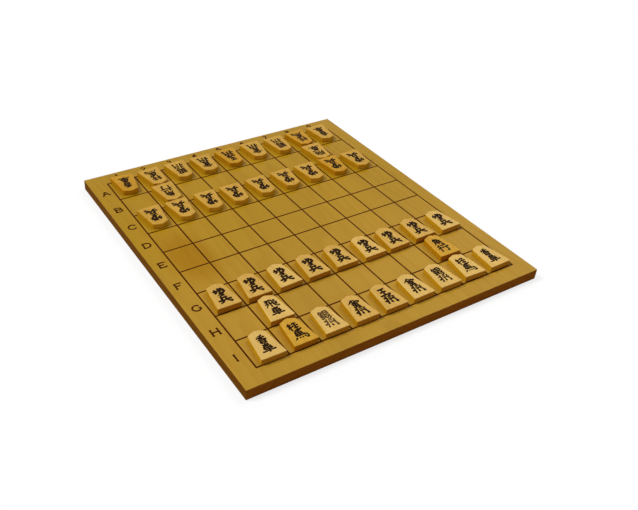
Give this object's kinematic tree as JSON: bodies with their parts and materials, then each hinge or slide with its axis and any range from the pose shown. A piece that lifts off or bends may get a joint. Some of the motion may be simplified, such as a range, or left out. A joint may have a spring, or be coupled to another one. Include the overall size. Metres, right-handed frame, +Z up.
{
  "type": "shogi board",
  "caption": "Flat wooden board with a ruled grid of squares and loose five-sided wedge pieces set up on it for play.",
  "frame": {"origin": "centre of the board's underside", "axes": "+X to the near player's right, +Y towards the far player, +Z up"},
  "size_m": [0.3008, 0.3282, 0.0161],
  "materials": {
    "board_wood": "satin lacquer",
    "pale_wood": "satin",
    "honey_wood": "satin",
    "amber_wood": "satin",
    "ink": "satin lacquer"
  },
  "bodies": {
    "board": {"board": "board_wood"},
    "lance_1i": {"lance_1i": "pale_wood"},
    "knight_2i": {"knight_2i": "amber_wood"},
    "silver_3i": {"silver_3i": "pale_wood"},
    "gold_4i": {"gold_4i": "honey_wood"},
    "king_5i": {"king_5i": "honey_wood"},
    "gold_6i": {"gold_6i": "pale_wood"},
    "silver_7i": {"silver_7i": "pale_wood"},
    "knight_8i": {"knight_8i": "pale_wood"},
    "lance_9i": {"lance_9i": "pale_wood"},
    "rook_2h": {"rook_2h": "pale_wood"},
    "bishop_8h": {"bishop_8h": "amber_wood"},
    "pawn_1g": {"pawn_1g": "honey_wood"},
    "pawn_2g": {"pawn_2g": "honey_wood"},
    "pawn_3g": {"pawn_3g": "pale_wood"},
    "pawn_4g": {"pawn_4g": "honey_wood"},
    "pawn_5g": {"pawn_5g": "honey_wood"},
    "pawn_6g": {"pawn_6g": "pale_wood"},
    "pawn_7g": {"pawn_7g": "honey_wood"},
    "pawn_8g": {"pawn_8g": "honey_wood"},
    "pawn_9g": {"pawn_9g": "pale_wood"},
    "pawn_1c": {"pawn_1c": "honey_wood"},
    "pawn_2c": {"pawn_2c": "honey_wood"},
    "pawn_3c": {"pawn_3c": "honey_wood"},
    "pawn_4c": {"pawn_4c": "honey_wood"},
    "pawn_5c": {"pawn_5c": "honey_wood"},
    "pawn_6c": {"pawn_6c": "honey_wood"},
    "pawn_7c": {"pawn_7c": "honey_wood"},
    "pawn_8c": {"pawn_8c": "amber_wood"},
    "pawn_9c": {"pawn_9c": "honey_wood"},
    "bishop_2b": {"bishop_2b": "honey_wood"},
    "rook_8b": {"rook_8b": "honey_wood"},
    "lance_1a": {"lance_1a": "amber_wood"},
    "knight_2a": {"knight_2a": "honey_wood"},
    "silver_3a": {"silver_3a": "honey_wood"},
    "gold_4a": {"gold_4a": "honey_wood"},
    "king_5a": {"king_5a": "amber_wood"},
    "gold_6a": {"gold_6a": "honey_wood"},
    "silver_7a": {"silver_7a": "honey_wood"},
    "knight_8a": {"knight_8a": "amber_wood"},
    "lance_9a": {"lance_9a": "honey_wood"}
  },
  "joints": [
    {"name": "lift_lance_1i", "type": "slide", "parent": "board", "child": "lance_1i", "axis": [0, 0, 1], "range_m": [0, 0.04]},
    {"name": "lift_knight_2i", "type": "slide", "parent": "board", "child": "knight_2i", "axis": [0, 0, 1], "range_m": [0, 0.04]},
    {"name": "lift_silver_3i", "type": "slide", "parent": "board", "child": "silver_3i", "axis": [0, 0, 1], "range_m": [0, 0.04]},
    {"name": "lift_gold_4i", "type": "slide", "parent": "board", "child": "gold_4i", "axis": [0, 0, 1], "range_m": [0, 0.04]},
    {"name": "lift_king_5i", "type": "slide", "parent": "board", "child": "king_5i", "axis": [0, 0, 1], "range_m": [0, 0.04]},
    {"name": "lift_gold_6i", "type": "slide", "parent": "board", "child": "gold_6i", "axis": [0, 0, 1], "range_m": [0, 0.04]},
    {"name": "lift_silver_7i", "type": "slide", "parent": "board", "child": "silver_7i", "axis": [0, 0, 1], "range_m": [0, 0.04]},
    {"name": "lift_knight_8i", "type": "slide", "parent": "board", "child": "knight_8i", "axis": [0, 0, 1], "range_m": [0, 0.04]},
    {"name": "lift_lance_9i", "type": "slide", "parent": "board", "child": "lance_9i", "axis": [0, 0, 1], "range_m": [0, 0.04]},
    {"name": "lift_rook_2h", "type": "slide", "parent": "board", "child": "rook_2h", "axis": [0, 0, 1], "range_m": [0, 0.04]},
    {"name": "lift_bishop_8h", "type": "slide", "parent": "board", "child": "bishop_8h", "axis": [0, 0, 1], "range_m": [0, 0.04]},
    {"name": "lift_pawn_1g", "type": "slide", "parent": "board", "child": "pawn_1g", "axis": [0, 0, 1], "range_m": [0, 0.04]},
    {"name": "lift_pawn_2g", "type": "slide", "parent": "board", "child": "pawn_2g", "axis": [0, 0, 1], "range_m": [0, 0.04]},
    {"name": "lift_pawn_3g", "type": "slide", "parent": "board", "child": "pawn_3g", "axis": [0, 0, 1], "range_m": [0, 0.04]},
    {"name": "lift_pawn_4g", "type": "slide", "parent": "board", "child": "pawn_4g", "axis": [0, 0, 1], "range_m": [0, 0.04]},
    {"name": "lift_pawn_5g", "type": "slide", "parent": "board", "child": "pawn_5g", "axis": [0, 0, 1], "range_m": [0, 0.04]},
    {"name": "lift_pawn_6g", "type": "slide", "parent": "board", "child": "pawn_6g", "axis": [0, 0, 1], "range_m": [0, 0.04]},
    {"name": "lift_pawn_7g", "type": "slide", "parent": "board", "child": "pawn_7g", "axis": [0, 0, 1], "range_m": [0, 0.04]},
    {"name": "lift_pawn_8g", "type": "slide", "parent": "board", "child": "pawn_8g", "axis": [0, 0, 1], "range_m": [0, 0.04]},
    {"name": "lift_pawn_9g", "type": "slide", "parent": "board", "child": "pawn_9g", "axis": [0, 0, 1], "range_m": [0, 0.04]},
    {"name": "lift_pawn_1c", "type": "slide", "parent": "board", "child": "pawn_1c", "axis": [0, 0, 1], "range_m": [0, 0.04]},
    {"name": "lift_pawn_2c", "type": "slide", "parent": "board", "child": "pawn_2c", "axis": [0, 0, 1], "range_m": [0, 0.04]},
    {"name": "lift_pawn_3c", "type": "slide", "parent": "board", "child": "pawn_3c", "axis": [0, 0, 1], "range_m": [0, 0.04]},
    {"name": "lift_pawn_4c", "type": "slide", "parent": "board", "child": "pawn_4c", "axis": [0, 0, 1], "range_m": [0, 0.04]},
    {"name": "lift_pawn_5c", "type": "slide", "parent": "board", "child": "pawn_5c", "axis": [0, 0, 1], "range_m": [0, 0.04]},
    {"name": "lift_pawn_6c", "type": "slide", "parent": "board", "child": "pawn_6c", "axis": [0, 0, 1], "range_m": [0, 0.04]},
    {"name": "lift_pawn_7c", "type": "slide", "parent": "board", "child": "pawn_7c", "axis": [0, 0, 1], "range_m": [0, 0.04]},
    {"name": "lift_pawn_8c", "type": "slide", "parent": "board", "child": "pawn_8c", "axis": [0, 0, 1], "range_m": [0, 0.04]},
    {"name": "lift_pawn_9c", "type": "slide", "parent": "board", "child": "pawn_9c", "axis": [0, 0, 1], "range_m": [0, 0.04]},
    {"name": "lift_bishop_2b", "type": "slide", "parent": "board", "child": "bishop_2b", "axis": [0, 0, 1], "range_m": [0, 0.04]},
    {"name": "lift_rook_8b", "type": "slide", "parent": "board", "child": "rook_8b", "axis": [0, 0, 1], "range_m": [0, 0.04]},
    {"name": "lift_lance_1a", "type": "slide", "parent": "board", "child": "lance_1a", "axis": [0, 0, 1], "range_m": [0, 0.04]},
    {"name": "lift_knight_2a", "type": "slide", "parent": "board", "child": "knight_2a", "axis": [0, 0, 1], "range_m": [0, 0.04]},
    {"name": "lift_silver_3a", "type": "slide", "parent": "board", "child": "silver_3a", "axis": [0, 0, 1], "range_m": [0, 0.04]},
    {"name": "lift_gold_4a", "type": "slide", "parent": "board", "child": "gold_4a", "axis": [0, 0, 1], "range_m": [0, 0.04]},
    {"name": "lift_king_5a", "type": "slide", "parent": "board", "child": "king_5a", "axis": [0, 0, 1], "range_m": [0, 0.04]},
    {"name": "lift_gold_6a", "type": "slide", "parent": "board", "child": "gold_6a", "axis": [0, 0, 1], "range_m": [0, 0.04]},
    {"name": "lift_silver_7a", "type": "slide", "parent": "board", "child": "silver_7a", "axis": [0, 0, 1], "range_m": [0, 0.04]},
    {"name": "lift_knight_8a", "type": "slide", "parent": "board", "child": "knight_8a", "axis": [0, 0, 1], "range_m": [0, 0.04]},
    {"name": "lift_lance_9a", "type": "slide", "parent": "board", "child": "lance_9a", "axis": [0, 0, 1], "range_m": [0, 0.04]}
  ]
}
